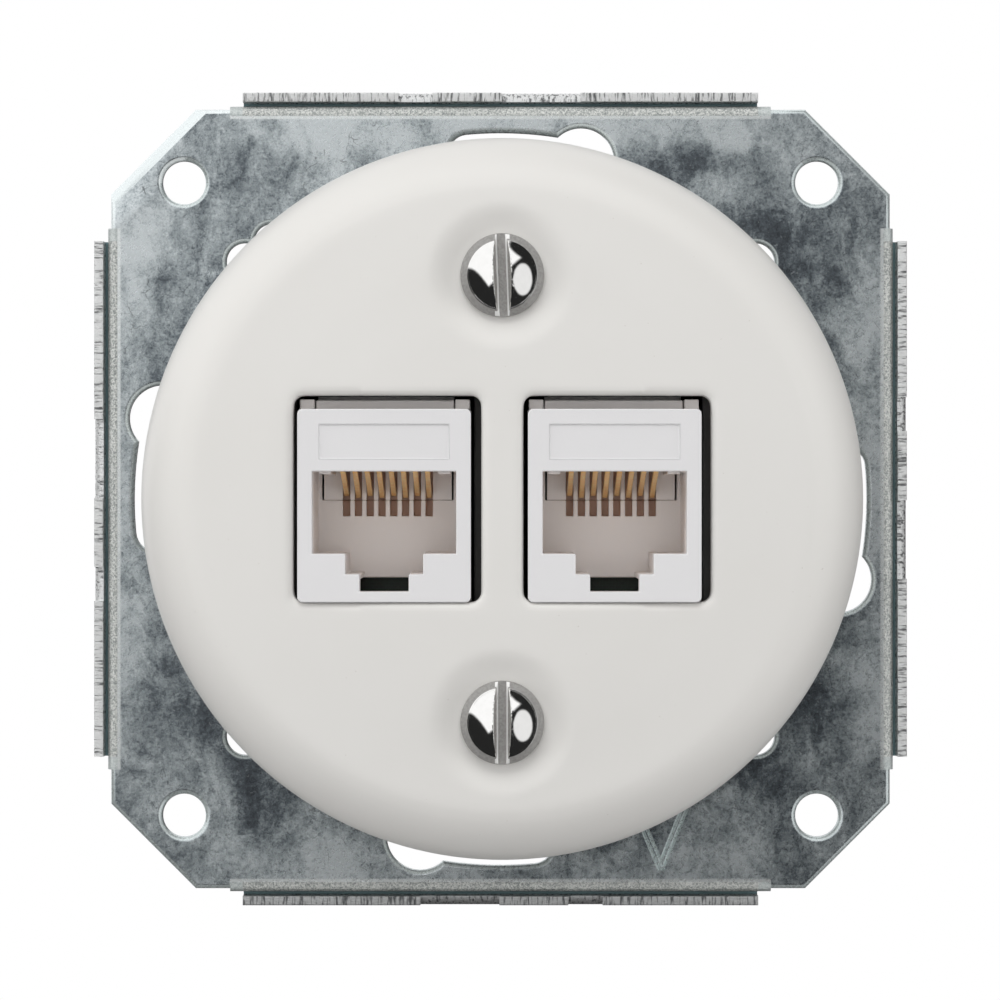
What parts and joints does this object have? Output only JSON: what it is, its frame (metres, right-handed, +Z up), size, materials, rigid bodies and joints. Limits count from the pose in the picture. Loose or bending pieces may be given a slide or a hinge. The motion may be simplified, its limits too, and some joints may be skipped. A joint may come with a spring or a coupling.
{
  "type": "duplex wall outlet",
  "caption": "Round glazed porcelain data outlet with twin modular jacks, slotted cover screws and a square zinc-plated flush-box frame.",
  "frame": {"origin": "centre of the mounting frame, on the wall plane that its hems rest on", "axes": "+X to the right and +Z up as seen from the room, +Y into the wall, so the front faces -Y"},
  "size_m": [0.07, 0.0302, 0.07],
  "materials": {
    "zinc_steel": "passivated zinc plating, cloudy blue-grey, satin",
    "glazed_porcelain": "warm off-white glossy glaze",
    "nickel": "polished nickel plating",
    "black_plastic": "moulded, fine matt texture",
    "white_plastic": "moulded, satin",
    "gold": "gold-plated spring wire",
    "tinned_bronze": "tin-plated bronze, satin",
    "brass": "turned, satin",
    "circuit_board": "green solder resist",
    "nylon": "natural nylon, satin"
  },
  "bodies": {
    "base": {"mounting_frame": "zinc_steel", "jack_carrier": "black_plastic", "carrier_rivet_1": "zinc_steel", "carrier_rivet_2": "zinc_steel", "carrier_rivet_3": "zinc_steel", "carrier_rivet_4": "zinc_steel", "threaded_insert_top": "brass", "threaded_insert_bottom": "brass", "left_jack_housing": "white_plastic", "left_contact_carrier": "white_plastic", "left_circuit_board": "circuit_board", "left_idc_block": "white_plastic", "left_idc_blade_1": "tinned_bronze", "left_idc_blade_2": "tinned_bronze", "left_idc_blade_3": "tinned_bronze", "left_idc_blade_4": "tinned_bronze", "left_idc_blade_5": "tinned_bronze", "left_idc_blade_6": "tinned_bronze", "left_idc_blade_7": "tinned_bronze", "left_idc_blade_8": "tinned_bronze", "right_jack_housing": "white_plastic", "right_contact_carrier": "white_plastic", "right_circuit_board": "circuit_board", "right_idc_block": "white_plastic", "right_idc_blade_1": "tinned_bronze", "right_idc_blade_2": "tinned_bronze", "right_idc_blade_3": "tinned_bronze", "right_idc_blade_4": "tinned_bronze", "right_idc_blade_5": "tinned_bronze", "right_idc_blade_6": "tinned_bronze", "right_idc_blade_7": "tinned_bronze", "right_idc_blade_8": "tinned_bronze"},
    "cover": {"porcelain_cover": "glazed_porcelain", "screw_retainer_top": "nylon", "screw_retainer_bottom": "nylon"},
    "top_screw": {"cover_screw_top": "nickel"},
    "bottom_screw": {"cover_screw_bottom": "nickel"},
    "left_contacts": {"left_contact_1": "gold", "left_contact_2": "gold", "left_contact_3": "gold", "left_contact_4": "gold", "left_contact_5": "gold", "left_contact_6": "gold", "left_contact_7": "gold", "left_contact_8": "gold"},
    "right_contacts": {"right_contact_1": "gold", "right_contact_2": "gold", "right_contact_3": "gold", "right_contact_4": "gold", "right_contact_5": "gold", "right_contact_6": "gold", "right_contact_7": "gold", "right_contact_8": "gold"},
    "left_latch": {"left_jack_latch": "white_plastic"},
    "right_latch": {"right_jack_latch": "white_plastic"},
    "left_cap": {"left_wire_cap": "white_plastic"},
    "right_cap": {"right_wire_cap": "white_plastic"}
  },
  "joints": [
    {"name": "cover_lift", "type": "slide", "parent": "base", "child": "cover", "axis": [0, -1, 0], "range_m": [0, 0.035]},
    {"name": "top_screw_turn", "type": "hinge", "parent": "cover", "child": "top_screw", "pos_m": [0.00015, -0.0157, 0.01863], "axis": [0, 1, 0], "continuous": true},
    {"name": "bottom_screw_turn", "type": "hinge", "parent": "cover", "child": "bottom_screw", "pos_m": [0.00015, -0.0157, -0.01863], "axis": [0, 1, 0], "continuous": true},
    {"name": "left_contacts_flex", "type": "hinge", "parent": "base", "child": "left_contacts", "pos_m": [-0.00969, -0.0121, 0.00284], "axis": [1, 0, 0], "range_deg": [0, 9], "stiffness_Nm_per_rad": 0.05},
    {"name": "left_latch_flex", "type": "hinge", "parent": "base", "child": "left_latch", "pos_m": [-0.00969, -0.0013, 0.00779], "axis": [1, 0, 0], "range_deg": [0, 5], "stiffness_Nm_per_rad": 0.2},
    {"name": "left_cap_pull", "type": "slide", "parent": "base", "child": "left_cap", "axis": [0, 1, 0], "range_m": [0, 0.012]},
    {"name": "right_contacts_flex", "type": "hinge", "parent": "base", "child": "right_contacts", "pos_m": [0.00951, -0.0121, 0.00284], "axis": [1, 0, 0], "range_deg": [0, 9], "stiffness_Nm_per_rad": 0.05},
    {"name": "right_latch_flex", "type": "hinge", "parent": "base", "child": "right_latch", "pos_m": [0.00951, -0.0013, 0.00779], "axis": [1, 0, 0], "range_deg": [0, 5], "stiffness_Nm_per_rad": 0.2},
    {"name": "right_cap_pull", "type": "slide", "parent": "base", "child": "right_cap", "axis": [0, 1, 0], "range_m": [0, 0.012]}
  ]
}
